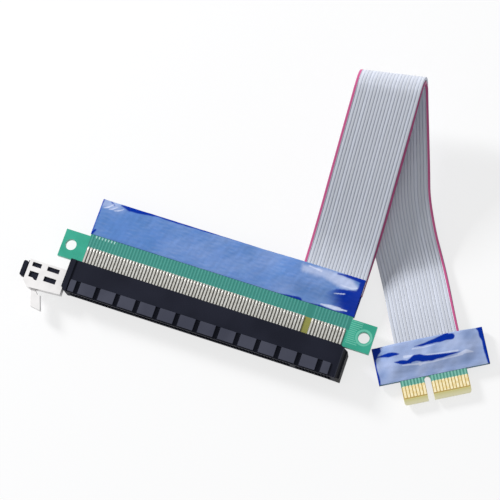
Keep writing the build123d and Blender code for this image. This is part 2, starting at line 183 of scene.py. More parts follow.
shellLook = {
    "mergeWithin": 2e-6,
    "flatBelow": math.radians(1),
    "sharpAbove": math.radians(28),
    "roundSteps": 2,
}


def roundedShell(nodeName, name, material, body, roundWidth, chosen=None):
    # a merged copy of a CAD solid; a bevel gives its sharp edges a small round,
    # all of them or those that have both ends chosen
    form = bmesh.new()
    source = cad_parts[nodeName]
    form.from_mesh(source.data)
    form.transform(source.matrix_world)
    bmesh.ops.remove_doubles(form, verts=form.verts, dist=shellLook["mergeWithin"])
    bmesh.ops.dissolve_limit(
        form, angle_limit=shellLook["flatBelow"], verts=form.verts, edges=form.edges
    )
    weight = form.edges.layers.float.new("bevel_weight_edge")
    for edge in form.edges:
        sharp = len(edge.link_faces) == 2 and edge.calc_face_angle() > shellLook["sharpAbove"]
        if sharp and (chosen is None or all(chosen(point.co) for point in edge.verts)):
            edge[weight] = 1.0
    mesh = bpy.data.meshes.new(name)
    form.to_mesh(mesh)
    form.free()
    piece = finishPiece(name, mesh, material, body, smooth=False)
    bevel = piece.modifiers.new("smallRounds", "BEVEL")
    bevel.limit_method = "WEIGHT"
    bevel.width = roundWidth
    bevel.segments = shellLook["roundSteps"]
    return piece


class Shader:
    # a material being built: its node tree and a few short ways to add nodes
    def __init__(self, name, rough, gloss=0.5, metal=0.0):
        self.material = bpy.data.materials.new(name)
        self.material.use_nodes = True
        self.tree = self.material.node_tree
        self.main = self.tree.nodes["Principled BSDF"]
        self.main.inputs["Roughness"].default_value = rough
        self.main.inputs["Specular IOR Level"].default_value = gloss
        self.main.inputs["Metallic"].default_value = metal

    def node(self, kind, **values):
        made = self.tree.nodes.new(kind)
        for key, value in values.items():
            setattr(made, key, value)
        return made

    def wire(self, target, source):
        # source is another node's output or a plain number or colour
        if isinstance(source, bpy.types.NodeSocket):
            self.tree.links.new(source, target)
        else:
            target.default_value = source

    def math(self, operation, first, second=0.0):
        made = self.node("ShaderNodeMath", operation=operation)
        for target, source in zip(made.inputs, (first, second)):
            self.wire(target, source)
        return made.outputs[0]

    def within(self, value, middle, reach):
        # 1 where the value is less than reach away from middle
        away = self.math("ABSOLUTE", self.math("SUBTRACT", value, middle))
        return self.math("LESS_THAN", away, reach)

    def ramp(self, value, low, high):
        made = self.node("ShaderNodeMapRange", interpolation_type="SMOOTHSTEP")
        for target, source in zip(made.inputs, (value, low, high, 0.0, 1.0)):
            self.wire(target, source)
        return made.outputs[0]

    def mix(self, share, first, second):
        made = self.node("ShaderNodeMix", data_type="RGBA")
        self.wire(made.inputs[0], share)
        self.wire(made.inputs[6], first)
        self.wire(made.inputs[7], second)
        return made.outputs[2]

    def patches(self, cloud, first, second, low=0.3, high=0.7):
        # two close tones in soft patches
        return self.mix(self.ramp(cloud, low, high), first, second)

    def places(self, turn=0.0, middle=(0, 0, 0)):
        # object coordinates, moved to a middle and turned about the vertical
        moved = self.node("ShaderNodeVectorMath", operation="SUBTRACT")
        self.wire(moved.inputs[0], self.node("ShaderNodeTexCoord").outputs["Object"])
        self.wire(moved.inputs[1], middle)
        mapping = self.node("ShaderNodeMapping", vector_type="POINT")
        self.wire(mapping.inputs["Rotation"], (0, 0, -turn))
        self.wire(mapping.inputs["Vector"], moved.outputs[0])
        return mapping.outputs[0]

    def split(self, vector):
        made = self.node("ShaderNodeSeparateXYZ")
        self.wire(made.inputs[0], vector)
        return list(made.outputs)

    def noise(self, vector, scale, detail, rough=0.5):
        made = self.node("ShaderNodeTexNoise")
        self.wire(made.inputs["Vector"], vector)
        self.wire(made.inputs["Scale"], scale)
        self.wire(made.inputs["Detail"], detail)
        self.wire(made.inputs["Roughness"], rough)
        return made.outputs["Fac"]

    def bump(self, height, depth, strength):
        made = self.node("ShaderNodeBump")
        self.wire(made.inputs["Strength"], strength)
        self.wire(made.inputs["Distance"], depth)
        self.wire(made.inputs["Height"], height)
        self.wire(self.main.inputs["Normal"], made.outputs[0])

    def colour(self, source):
        self.wire(self.main.inputs["Base Color"], source)


def tone(red, green, blue):
    # a screen colour, 0 to 255, as the linear colour that the shader takes, by the
    # usual curve for screens
    level = np.array([red, green, blue]) / 255
    linear = np.where(level <= 0.04045, level / 12.92, ((level + 0.055) / 1.055) ** 2.4)
    return (*linear.tolist(), 1.0)


ribbonLook = {
    "width": 0.0198,
    "thick": 0.0009,
    "wires": 20,
    "grooveAngle": 25,  # degrees of arc on each side of a wire's middle
    "pointsPerWire": 7,
    "smoothness": 12,
    "rough": 0.42,
    "gloss": 0.35,
    "ridge": tone(208, 214, 228),
    "duller": tone(196, 201, 212),
    "streak": tone(220, 222, 228),
    "streakShare": 0.5,
    "streaksPerWire": 3.0,
    "streaksPerMm": 0.12,
    "streakNoise": (1.0, 4.0),  # scale, detail
    # painted shade: the grooves between the wires get a darker tone, as shade falls there
    "groove": tone(196, 202, 218),
    "grooveFrom": 0.26,  # in wires, from a wire's middle, where the painted shade of the grooves begins
    "stripe": tone(200, 88, 140),
    # painted shade in the red stripe's grooves
    "stripeGrooveShade": tone(160, 60, 115),
    "stripeWide": 0.74,  # in wires
    "bump": (0.00004, 0.3),  # depth in metres, strength
}
# place of each point of the middle line, then the direction across in plan
upperRoute = np.array([
    (0.03304, 0.02690, 0.00125, 0),
    (0.03279, 0.03642, 0.00125, 0),
    (0.03273, 0.04818, 0.00535, 4),
    (0.03251, 0.06022, 0.01005, 8),
    (0.03226, 0.07287, 0.01425, 10),
    (0.03207, 0.08150, 0.01675, 10),
    (0.03186, 0.08823, 0.01835, 10),
    (0.03178, 0.09196, 0.01630, 10),
    (0.03216, 0.09305, 0.01220, 10),
    (0.03319, 0.09050, 0.00844, 10),
    (0.03588, 0.08251, 0.00798, 10),
    (0.03901, 0.07351, 0.00729, 10),
    (0.04175, 0.06567, 0.00572, 10),
    (0.04419, 0.05817, 0.00334, 22.6),
    (0.04885, 0.04917, -0.00015, 28.9),
    (0.05348, 0.04224, -0.00330, 29.84),
    (0.05702, 0.03641, -0.00330, 29.84),
    (0.06302, 0.02521, -0.00315, 29.84),
    (0.06797, 0.01618, -0.00315, 29.84),
])
lowerRoute = np.array([
    (0.03304, 0.02690, -0.00125, 0),
    (0.03310, 0.03667, -0.00125, 0),
    (0.03331, 0.04852, 0.00410, 4),
    (0.03310, 0.06067, 0.00880, 8),
    (0.03284, 0.07327, 0.01300, 10),
    (0.03250, 0.08185, 0.01550, 10),
    (0.03218, 0.08808, 0.01700, 10),
    (0.03215, 0.09098, 0.01540, 10),
    (0.03238, 0.09182, 0.01230, 10),
    (0.03325, 0.09014, 0.00960, 10),
    (0.03589, 0.08244, 0.00920, 10),
    (0.03904, 0.07336, 0.00850, 10),
    (0.04180, 0.06538, 0.00690, 10),
    (0.04434, 0.05782, 0.00450, 22.6),
    (0.04906, 0.04880, 0.00100, 28.9),
    (0.05330, 0.04214, -0.00210, 29.84),
    (0.05683, 0.03630, -0.00210, 29.84),
    (0.06284, 0.02511, -0.00065, 29.84),
    (0.06797, 0.01618, -0.00065, 29.84),
])


def splinePlaces(points):
    # the places along one smooth NURBS line that has these control points
    curve = bpy.data.curves.new("routeLine", "CURVE")
    curve.dimensions = "3D"
    spline = curve.splines.new("NURBS")
    spline.points.add(len(points) - 1)
    spline.points.foreach_set("co", np.column_stack([points, np.ones(len(points))]).ravel())
    spline.order_u = 3
    spline.use_endpoint_u = True
    spline.resolution_u = ribbonLook["smoothness"]
    holder = bpy.data.objects.new("routeLine", curve)
    mesh = bpy.data.meshes.new_from_object(holder)
    places = np.empty(3 * len(mesh.vertices), dtype=np.float32)
    mesh.vertices.foreach_get("co", places)
    bpy.data.objects.remove(holder)
    bpy.data.meshes.remove(mesh)
    bpy.data.curves.remove(curve)
    return places.reshape(-1, 3).astype(float)


def wireProfile(look):
    # outline of twenty joined round wires: an arc of a circle over each wire,
    # across = middle + r sin(angle), height = half thickness x cos(angle)
    wires = look["wires"]
    pitch = look["width"] / wires
    reach = math.radians(look["grooveAngle"])
    angle = np.linspace(-reach, reach, look["pointsPerWire"])
    middle = (np.arange(wires) - (wires - 1) / 2) * pitch
    across = middle[:, None] + pitch / 2 * np.sin(angle) / math.sin(reach)
    height = np.broadcast_to(look["thick"] / 2 * np.cos(angle), across.shape)
    top = np.column_stack([across.ravel(), height.ravel()])
    outer = np.array([(look["width"] / 2, 0)])
    return np.concatenate([top, outer, top[::-1] * (1, -1), -outer])


def makeRibbon(name, route, material, look, stripeOnLeft):
    # the profile carried along the line: line + level x across / slant + face x height,
    # where slant, the sine between line and level, keeps the width true on a slope
    line = splinePlaces(route[:, :3])
    turn = splinePlaces(route[:, 3:4] * (1, 0, 0))[:, 0] * math.pi / 180
    ahead = np.gradient(line, axis=0)
    ahead /= np.linalg.norm(ahead, axis=1, keepdims=True)
    level = joined(np.cos(turn), np.sin(turn), 0.0)
    face = np.cross(level, ahead)
    slant = np.linalg.norm(face, axis=1, keepdims=True)
    face /= slant
    profile = wireProfile(look)
    places = (
        line[:, None]
        + (level / slant)[:, None] * profile[None, :, 0:1]
        + face[:, None] * profile[None, :, 1:2]
    )
    walked = np.concatenate([[0], np.cumsum(np.linalg.norm(np.diff(line, axis=0), axis=1))])
    wirePlace = profile[:, 0] / look["width"] * look["wires"] + look["wires"] / 2
    if not stripeOnLeft:
        wirePlace = look["wires"] - wirePlace
    sheet = np.stack(np.broadcast_arrays(wirePlace[None, :], walked[:, None] * 1000), axis=-1)
    mesh = gridMesh(name, places[:, ::-1], loop=True, caps=True, sheetPlaces=sheet[:, ::-1])
    piece = finishPiece(name, mesh, material, "riser")
    print(name, "length", round(walked[-1] * 1000, 1), "mm")
    return piece, line, walked[-1]


def ribbonMaterial(look):
    # the sheet map counts wires across and millimetres along
    made = Shader("greyRibbon", look["rough"], look["gloss"])
    wire, along = made.split(made.node("ShaderNodeUVMap").outputs[0])[:2]
    offMiddle = made.math("ABSOLUTE", made.math("SUBTRACT", made.math("FRACT", wire), 0.5))
    # painted shade: the grooves between the wires are darkened
    groove = made.ramp(offMiddle, look["grooveFrom"], 0.5)
    each = made.node("ShaderNodeTexWhiteNoise", noise_dimensions="1D")
    made.wire(each.inputs["W"], made.math("FLOOR", wire))
    streak = made.node("ShaderNodeCombineXYZ")
    made.wire(streak.inputs[0], made.math("MULTIPLY", wire, look["streaksPerWire"]))
    made.wire(streak.inputs[1], made.math("MULTIPLY", along, look["streaksPerMm"]))
    uneven = made.noise(streak.outputs[0], *look["streakNoise"])
    light = made.mix(each.outputs["Value"], look["ridge"], look["duller"])
    light = made.mix(made.math("MULTIPLY", uneven, look["streakShare"]), light, look["streak"])
    plain = made.mix(groove, light, look["groove"])
    striped = made.mix(groove, look["stripe"], look["stripeGrooveShade"])
    inStripe = made.math("LESS_THAN", wire, look["stripeWide"])
    made.colour(made.mix(inStripe, plain, striped))
    made.bump(uneven, *look["bump"])
    return made.material


greyRibbon = ribbonMaterial(ribbonLook)
upperRibbon, upperLine, upperLength = makeRibbon(
    "ribbonUpperWires", upperRoute, greyRibbon, ribbonLook, stripeOnLeft=True
)
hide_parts("ribbon_upper")
lowerRibbon, lowerLine, lowerLength = makeRibbon(
    "ribbonLowerWires", lowerRoute, greyRibbon, ribbonLook, stripeOnLeft=False
)
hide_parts("ribbon_lower")


filmLook = {  # lengths in millimetres
    "rough": 0.22,
    "gloss": 0.06,
    # painted reflection: the two lighter blues and the glint tone stand for light the film
    # reflects; deep is the film's own blue
    "paintedSheen": tone(90, 131, 193),
    "paintedSheenPatch": tone(96, 135, 200),
    "deep": tone(0, 46, 158),
    "glint": tone(206, 216, 244),
    "cloud": (260.0, 4.0),  # scale, detail
    "cloudRange": (0.25, 0.8),
    "fine": (1500.0, 2.0),
    "fineShare": 0.15,  # of the fine crumple against the coarse
    "bump": (0.0003, 0.25),  # depth in metres, strength
    "thick": 0.08,
    "gap": 0.06,  # under the film's edges, and as much again further in
    "edgeFall": 0.7,
    "raised": 1.0,  # over the ribbons' ends
    "crest": 0.3,  # from the ribbons' sides to where the film is fully raised
    "streakSoft": 0.16,
    "streakWobble": 0.2,  # share of a streak's width
    "streakWaves": 4.5,
    "patchWobble": 0.12,
    "patchWaves": 1.8,
    "patchSeed": 31,
    "foldOut": 0.1,
    "underSheen": 0.8,  # shares of the upper face's painted sheen and glints
    "underGlint": 0.3,
}


def filmMaterial(look):
    made = Shader("blueFilm", look["rough"], look["gloss"])
    # painted reflection: the sheen attribute turns the film's own deep blue to the lighter
    # reflected tones, and the glint attribute adds painted highlights
    paintedSheen = made.node("ShaderNodeAttribute", attribute_name="paintedSheen").outputs["Fac"]
    glint = made.node("ShaderNodeAttribute", attribute_name="glint").outputs["Fac"]
    where = made.places()
    cloud = made.noise(where, *look["cloud"])
    fine = made.noise(where, *look["fine"])
    softSheen = made.patches(cloud, look["paintedSheen"], look["paintedSheenPatch"], *look["cloudRange"])
    made.colour(made.mix(glint, made.mix(paintedSheen, look["deep"], softSheen), look["glint"]))
    crumple = made.math("ADD", cloud, made.math("MULTIPLY", fine, look["fineShare"]))
    made.bump(crumple, *look["bump"])
    return made.material


def alongSide(x, y, start, end):
    # how far along a straight side the nearest place to each point is, 0 to 1,
    # and the distance to it
    step = end - start
    t = np.clip(((x - start[0]) * step[0] + (y - start[1]) * step[1]) / (step @ step), 0, 1)
    return t, np.hypot(x - start[0] - t * step[0], y - start[1] - t * step[1])


def streakMask(x, y, streaks, seed):
    # 1 inside the listed streaks: the distance to each tapered run of points,
    # less its half width, made uneven by soft waves
    inside = np.zeros_like(x)
    soft = filmLook["streakSoft"]
    uneven = 1 + filmLook["streakWobble"] * softWaves(x, y, filmLook["streakWaves"], seed)
    for streak in streaks:
        run = np.array(streak, float)
        for start, end in zip(run[:-1], run[1:]):
            t, away = alongSide(x, y, start[:2], end[:2])
            half = start[2] + t * (end[2] - start[2])
            inside = np.maximum(inside, 1 - smoothStep(-soft, soft, away - half * uneven))
    return inside


def patchMask(x, y, corners, soft):
    # 1 inside a closed run of corners: the distance to its nearest side, counted
    # above 0 inside and below 0 outside, passed through an S curve
    run = np.array(corners, float)
    inside = np.zeros(x.shape, bool)
    nearest = np.full(x.shape, np.inf)
    for start, end in zip(run, np.roll(run, -1, axis=0)):
        nearest = np.minimum(nearest, alongSide(x, y, start, end)[1])
        if start[1] != end[1]:
            crossing = start[0] + (y - start[1]) / (end[1] - start[1]) * (end[0] - start[0])
            inside ^= ((start[1] > y) != (end[1] > y)) & (x < crossing)
    waves = softWaves(x, y, filmLook["patchWaves"], filmLook["patchSeed"])
    depth = np.where(inside, nearest, -nearest) + filmLook["patchWobble"] * waves
    return smoothStep(-soft, soft, depth)


def filmHeight(x, y, look):
    # height above the board: a flat film, raised in S curves over the ribbons' ends,
    # with ripples that fall away towards its near and far edges
    x, y = np.broadcast_arrays(x, y)
    crest, edgeFall, gap = filmLook["crest"], filmLook["edgeFall"], filmLook["gap"]
    across = smoothStep(look["bulgeFrom"] - look["slopeSide"], look["bulgeFrom"] + crest, x)
    across *= 1 - smoothStep(look["bulgeTo"] - crest, look["bulgeTo"] + look["slopeSide"], x)
    slope = (look["bulgeNear"] - look["slopeNear"], look["bulgeNear"] + look["slopeFar"])
    along = smoothStep(*slope, y)
    ripple = sum(high * softWaves(x, y, size, seed) for high, size, seed in look["ripples"])
    fall = smoothStep(0, edgeFall, look["far"] - y) * smoothStep(0, edgeFall, y - look["near"])
    return gap + filmLook["raised"] * across * along + (gap + ripple) * fall


def filmPiece(name, places, paintedSheen, glint, material, turned=False):
    # the shares of painted sheen and painted glint may be plain numbers; turned swaps
    # the columns' order, so that the faces point outwards
    paintedSheen, glint = (np.broadcast_to(mark, places.shape[:2]) for mark in (paintedSheen, glint))
    if turned:
        places, paintedSheen, glint = places[:, ::-1], paintedSheen[:, ::-1], glint[:, ::-1]
    mesh = gridMesh(name, places, marks={"paintedSheen": paintedSheen, "glint": glint})
    return finishPiece(name, mesh, material, "riser")


def filmFace(name, places, paintedSheen, glint, material, side):
    # side is 1 for a film's upper face and -1 for the one under the board
    # the face under the board gets less painted sheen and fewer painted glints
    if side < 0:
        paintedSheen, glint = paintedSheen * filmLook["underSheen"], glint * filmLook["underGlint"]
    piece = filmPiece(name, places, paintedSheen, glint, material, turned=side < 0)
    shell = piece.modifiers.new("filmThickness", "SOLIDIFY")
    shell.thickness = filmLook["thick"] / 1000
    shell.offset = -1
    return piece


longFilm = {  # places in millimetres on the long board: x, y, half width
    "left": -42.75, "leftFar": -42.74, "right": 42.75, "near": 19.8, "far": 31.5,
    "leanOver": 42.0,  # the left edge's lean dies out over this length
    "bulgeFrom": 22.6, "bulgeTo": 43.4, "bulgeNear": 24.0,
    "slopeSide": 11.0, "slopeNear": 3.8, "slopeFar": 2.4,
    "ripples": [(0.05, 9.0, 3), (0.02, 3.0, 4)],  # height, size, seed
    "grid": (340, 60), "foldGrid": (180, 12), "sideGrid": (60, 12),
    "foldShort": 0.2,
    "foldRipple": (0.03, 6.0, 5),  # depth, size, seed
    "sideOut": 0.04,
    # shares of painted reflection on the fold and on the side
    "foldSheen": 0.15, "sideSheen": 0.4,
    # dark streaks: places left without painted reflection, where the film's own deep blue shows
    "dark": [
        [(-36.6, 31.2, 0.2), (-33.8, 30.9, 0.75), (-30.5, 31.0, 0.7), (-26.0, 31.4, 0.4)],
        [(-27.0, 31.5, 0.35), (-18.0, 31.4, 0.4), (-9.0, 31.5, 0.3), (2.0, 31.7, 0.2),
         (14.0, 31.9, 0.3)],
        [(-42.8, 19.8, 0.5), (-41.8, 21.4, 0.3)],
        [(-42.9, 31.9, 0.55), (-42.9, 25.0, 0.4), (-42.9, 19.6, 0.35)],
        [(-42.4, 31.9, 0.35), (-39.0, 31.9, 0.3)],
        [(-40.2, 31.5, 0.2), (-38.6, 30.4, 0.12)],
        [(19.0, 19.6, 0.3), (22.5, 19.7, 0.75), (25.4, 19.9, 0.7)],
        [(28.2, 19.4, 0.4), (31.4, 19.9, 0.4), (37.8, 19.5, 0.4)],
        [(34.0, 30.9, 0.2), (37.6, 31.2, 0.55), (42.6, 31.0, 0.8)],
    ],
    "darkSeed": 8,
    "deepZone": [
        (35.4, 26.4), (41.0, 27.6), (41.4, 31.9), (43.2, 31.9),
        (43.2, 19.3), (37.2, 19.2), (31.8, 21.2), (32.4, 24.6),
    ],
    "zoneSoft": 0.3,
    "zoneFade": (31.0, 38.5), "zoneSlant": 0.5, "zoneMiddle": 24.0,
    # a patch of painted reflection, brighter to its right
    "reflectionLobe": [
        (22.8, 30.4), (29.6, 31.2), (34.0, 31.0), (38.6, 30.4), (41.3, 28.6),
        (40.2, 27.3), (36.4, 27.0), (30.0, 28.6), (23.2, 28.4),
    ],
    "lobeSoft": 0.8,
    "lobeBright": (0.5, 0.25), "lobeFrom": (30.0, 40.0),  # at its left, and more to its right
    # streaks of painted highlight
    "glint": [
        [(36.0, 27.9, 0.25), (39.4, 27.8, 0.4), (40.8, 28.3, 0.3)],
        [(34.8, 24.8, 0.12), (37.8, 25.5, 0.16)],
        [(31.9, 20.6, 0.2), (36.4, 20.7, 0.62), (40.0, 20.9, 0.15)],
        [(25.0, 30.6, 0.2), (29.0, 30.2, 0.35)],
        [(-41.6, 28.9, 0.14), (-40.3, 29.5, 0.26), (-39.2, 30.6, 0.16)],
        [(-40.0, 28.9, 0.1), (-38.9, 29.3, 0.2), (-37.6, 30.3, 0.14)],
        [(-38.3, 28.9, 0.08), (-37.0, 29.3, 0.18), (-35.6, 30.2, 0.12)],
    ],
    "glintSeed": 9,
    "glintBright": 0.95,
    # painted highlight: the crinkled left corner, a slow wander and a rise towards the right
    "cornerBright": 0.42, "cornerX": (-34.0, -39.0), "cornerY": (28.3, 30.2),
    "glintDrift": [(0.05, 1, 16.0, 41), (0.04, 4, 5.0, 42)],  # share, squeeze in y, size, seed
    "riseRight": 0.1, "riseX": (-40.0, -8.0),
    "dullInDeep": 0.9,  # share of the drift that the deep places lose
}


def longFilmMarks(x, y, look):
    # how much painted reflection the film gets: less in the dark streaks and in the zone at its
    # right end;
    # and its painted highlights: the largest of glints, the bright patch and left corner, plus a
    # slow change
    slanted = x + look["zoneSlant"] * (y - look["zoneMiddle"])
    zone = patchMask(x, y, look["deepZone"], look["zoneSoft"])
    zone = zone * smoothStep(*look["zoneFade"], slanted)
    deep = np.maximum(zone, streakMask(x, y, look["dark"], look["darkSeed"]))
    lobeLeft, lobeMore = look["lobeBright"]
    reflectionLobe = patchMask(x, y, look["reflectionLobe"], look["lobeSoft"])
    reflectionLobe = reflectionLobe * (lobeLeft + lobeMore * smoothStep(*look["lobeFrom"], x))
    glint = look["glintBright"] * streakMask(x, y, look["glint"], look["glintSeed"])
    corner = smoothStep(*look["cornerX"], x) * smoothStep(*look["cornerY"], y)
    glint = np.maximum(np.maximum(glint, reflectionLobe), look["cornerBright"] * corner)
    glintDrift = look["riseRight"] * smoothStep(*look["riseX"], x)
    for share, squeeze, size, seed in look["glintDrift"]:
        glintDrift = glintDrift + share * softWaves(x, squeeze * y, size, seed)
    dulled = 1 - look["dullInDeep"] * deep * (glint < 0.5)
    return np.clip(1 - deep, 0, 1), np.clip(glint + glintDrift, 0, 1) * dulled


def makeLongFilm(look, material):
    # a sheet on each face, z = side x (board + film height), whose left edge leans in
    # a little, and two folds, z = edge height x cos(turn) over a half turn
    lean = (look["leftFar"] - look["left"]) / (look["far"] - look["near"])
    halfBoard = boardTop * 1000
    nearToFar = (look["near"], look["far"])
    halfTurn = (0, math.pi)
    x, y = evenGrid((look["left"], look["right"]), nearToFar, look["grid"])
    x = x + lean * (y - look["near"]) * np.clip(-x / look["leanOver"], 0, 1)
    height = halfBoard + filmHeight(x, y, look)
    # painted reflection and painted highlights for both faces
    paintedSheen, glint = longFilmMarks(x, y, look)
    pieces = []
    for name, side in (("filmLongTop", 1), ("filmLongUnder", -1)):
        places = joined(x, y, side * height) / 1000
        pieces.append(filmFace(name, places, paintedSheen, glint, material, side))
    # over the far edge, as far as the ribbons
    foldEnd = look["bulgeFrom"] - look["foldShort"]
    x, turn = evenGrid((look["left"], foldEnd), halfTurn, look["foldGrid"])
    edge = halfBoard + filmHeight(x, look["far"], look)
    depth, size, seed = look["foldRipple"]
    y = look["far"] + filmLook["foldOut"] * np.sin(turn) + depth * softWaves(x, turn, size, seed)
    places = joined(x, y, edge * np.cos(turn)) / 1000
    # the fold gets an even share of painted reflection
    pieces.append(filmPiece("filmLongFold", places, look["foldSheen"], 0, material))
    # over the board's left edge
    y, turn = evenGrid(nearToFar, halfTurn, look["sideGrid"])
    edge = halfBoard + filmHeight(look["left"], y, look)
    x = look["left"] + lean * (y - look["near"]) - look["sideOut"] * np.sin(turn)
    places = joined(x, y, edge * np.cos(turn)) / 1000
    # the side gets an even share of painted reflection
    pieces.append(filmPiece("filmLongSide", places, look["sideSheen"], 0, material, turned=True))
    return pieces


plugFilm = {  # places in millimetres on the small board: a, b, half width
    "left": -16.45, "right": 17.25, "near": 3.58, "far": 14.9,
    "bulgeFrom": -9.9, "bulgeTo": 10.7, "bulgeNear": 6.7,
    "slopeSide": 5.5, "slopeNear": 2.8, "slopeFar": 2.6,
    "ripples": [(0.05, 7.0, 13), (0.02, 2.6, 14)],  # height, size, seed
    "underMost": 1.03,  # the film's greatest height under the board
    "grid": (200, 80), "foldGrid": (60, 12),
    # share of painted reflection on the folds
    "foldSheen": 0.1,
    # dark streaks: places left without painted reflection, where the film's own deep blue shows
    "dark": [
        [(-3.8, 12.9, 0.08), (-1.0, 12.9, 0.4), (2.6, 13.4, 0.7), (5.8, 13.8, 1.05),
         (7.6, 13.7, 0.95)],
        [(5.6, 14.6, 0.3), (6.6, 14.7, 0.35)],
        [(-10.6, 9.4, 0.1), (-9.0, 9.0, 0.55), (-7.4, 8.7, 0.6), (-6.0, 8.6, 0.5)],
        [(-6.6, 8.8, 0.5), (-4.4, 9.4, 0.95), (-3.0, 9.2, 1.05), (-1.0, 8.6, 0.85)],
        [(-2.0, 8.9, 0.95), (0.5, 8.5, 0.8), (4.5, 8.5, 0.5), (9.2, 8.6, 0.06)],
        [(-15.4, 12.05, 0.15), (-12.0, 12.05, 0.65), (-9.6, 11.7, 0.45), (-8.8, 11.6, 0.12)],
        [(-16.4, 15.0, 2.0), (-15.6, 14.0, 1.5), (-16.6, 11.4, 0.6)],
        [(-15.0, 15.2, 0.9), (-12.4, 15.3, 0.15)],
        [(-16.6, 13.0, 0.6), (-16.6, 3.4, 0.6)],
        [(-16.4, 3.5, 0.3), (-14.0, 3.4, 0.1)],
        [(17.2, 15.2, 1.6), (17.3, 8.0, 0.95), (17.35, 3.4, 0.6)],
    ],
    "darkSeed": 18,
    # streaks of painted highlight
    "glint": [
        [(-8.4, 8.0, 0.1), (-5.4, 7.7, 0.18), (-3.3, 7.5, 0.25)],
        [(-3.3, 7.5, 0.5), (-3.1, 7.45, 0.5)],
        [(-1.0, 9.75, 0.08), (3.5, 9.35, 0.16), (8.6, 9.1, 0.2)],
        [(-4.6, 12.3, 0.12), (-1.0, 12.1, 0.1), (2.4, 12.3, 0.06)],
        [(-3.3, 7.5, 0.25), (0.5, 7.3, 0.14), (4.6, 7.5, 0.14), (9.8, 7.7, 0.2)],
        [(8.6, 7.9, 0.25), (11.0, 8.4, 0.55), (13.0, 7.9, 0.15)],
        [(-7.4, 10.4, 0.35), (-4.6, 10.3, 0.2)],
    ],
    "glintSeed": 19,
    # painted highlight: the glints' strength and an even painted sheen under them
    "glintBright": 0.66, "sheen": 0.5,
    "glintDrift": (0.13, 9.0, 43),  # share, size, seed
}


def plugFilmMarks(a, b, look):
    # how much painted reflection the film gets: less in the dark streaks; and its painted
    # highlights: glints over an even painted sheen and a slow change
    paintedSheen = 1 - streakMask(a, b, look["dark"], look["darkSeed"])
    share, size, seed = look["glintDrift"]
    glint = look["glintBright"] * streakMask(a, b, look["glint"], look["glintSeed"])
    glint = glint + look["sheen"] + share * softWaves(a, b, size, seed)
    return paintedSheen, np.clip(glint, 0, 1) * paintedSheen


def makePlugFilm(look, material):
    # as the long film, on the small board's axes, with a fold round each short edge
    halfBoard = boardTop * 1000
    a, b = evenGrid((look["left"], look["right"]), (look["near"], look["far"]), look["grid"])
    height = filmHeight(a, b, look)
    # painted reflection and painted highlights for both faces
    paintedSheen, glint = plugFilmMarks(a, b, look)
    pieces = []
    for name, side, most in (("filmPlugTop", 1, np.inf), ("filmPlugUnder", -1, look["underMost"])):
        z = side * (halfBoard + np.minimum(height, most))
        places = plugToFrame(a / 1000, b / 1000, z / 1000)
        pieces.append(filmFace(name, places, paintedSheen, glint, material, side))
    b, turn = evenGrid((look["near"], look["far"]), (0, math.pi), look["foldGrid"])
    for name, end, outward in (
        ("filmPlugLeftFold", look["left"], -1),
        ("filmPlugRightFold", look["right"], 1),
    ):
        z = (halfBoard + filmHeight(end, b, look)) * np.cos(turn)
        a = end + outward * filmLook["foldOut"] * np.sin(turn)
        places = plugToFrame(a / 1000, b / 1000, z / 1000)
        turned = outward > 0
        # each fold gets an even share of painted reflection
        pieces.append(filmPiece(name, places, look["foldSheen"], 0, material, turned))
    return pieces


blueFilm = filmMaterial(filmLook)
longFilmPieces = makeLongFilm(longFilm, blueFilm)
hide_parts("tape_long")
plugFilmPieces = makePlugFilm(plugFilm, blueFilm)
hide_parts("tape_plug")
print("ribbons and films made")


slotLook = {
    "rough": 0.55,
    "gloss": 0.06,
    "panel": tone(25, 27, 38),
    "panelPatch": tone(32, 34, 46),
    # painted sheen: the raised pads' lighter grey stands for light they reflect; the plastic is the
    # same black
    "padSheen": tone(63, 65, 78),
    "padSheenPatch": tone(73, 75, 88),
    # painted shade: the right end, facing away from the lamp, is painted darker
    "shadedEndWall": tone(8, 9, 15),
    "shadedEndFrom": 0.0432,  # x
    "padOut": 0.00362,  # the pads' faces lie further than this from the middle plane
    "padBelow": 0.00396,  # y
    "padMiddle": -0.0011,
    "padReach": 0.042,
    "cloud": (90.0, 2.0),  # scale, detail
    "grain": (2600.0, 4.0, 0.6),  # and roughness
    "bump": (0.00006, 0.35),  # depth in metres, strength
    "rounding": 0.00016,
    "roundedOut": 0.0026,  # edges nearer than this to the middle plane stay sharp
}


def slotMaterial(look):
    made = Shader("slotPlastic", look["rough"], look["gloss"])
    where = made.places()
    x, y, z = made.split(where)
    onPad = made.math("GREATER_THAN", made.math("ABSOLUTE", z), look["padOut"])
    onPad = made.math("MULTIPLY", onPad, made.math("LESS_THAN", y, look["padBelow"]))
    onPad = made.math("MULTIPLY", onPad, made.within(x, look["padMiddle"], look["padReach"]))
    cloud = made.noise(where, *look["cloud"])
    panel = made.patches(cloud, look["panel"], look["panelPatch"])
    # painted sheen on the pads
    padSheen = made.patches(cloud, look["padSheen"], look["padSheenPatch"])
    # painted shade on the right end
    onShadedEnd = made.math("GREATER_THAN", x, look["shadedEndFrom"])
    made.colour(made.mix(onPad, made.mix(onShadedEnd, panel, look["shadedEndWall"]), padSheen))
    made.bump(made.noise(where, *look["grain"]), *look["bump"])
    return made.material


slotPlastic = slotMaterial(slotLook)
slotShell = roundedShell(
    "slot_housing", "slotHousingShell", slotPlastic, "riser",
    slotLook["rounding"], chosen=lambda place: abs(place.z) > slotLook["roundedOut"],
)
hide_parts("slot_housing")
print("slot made")


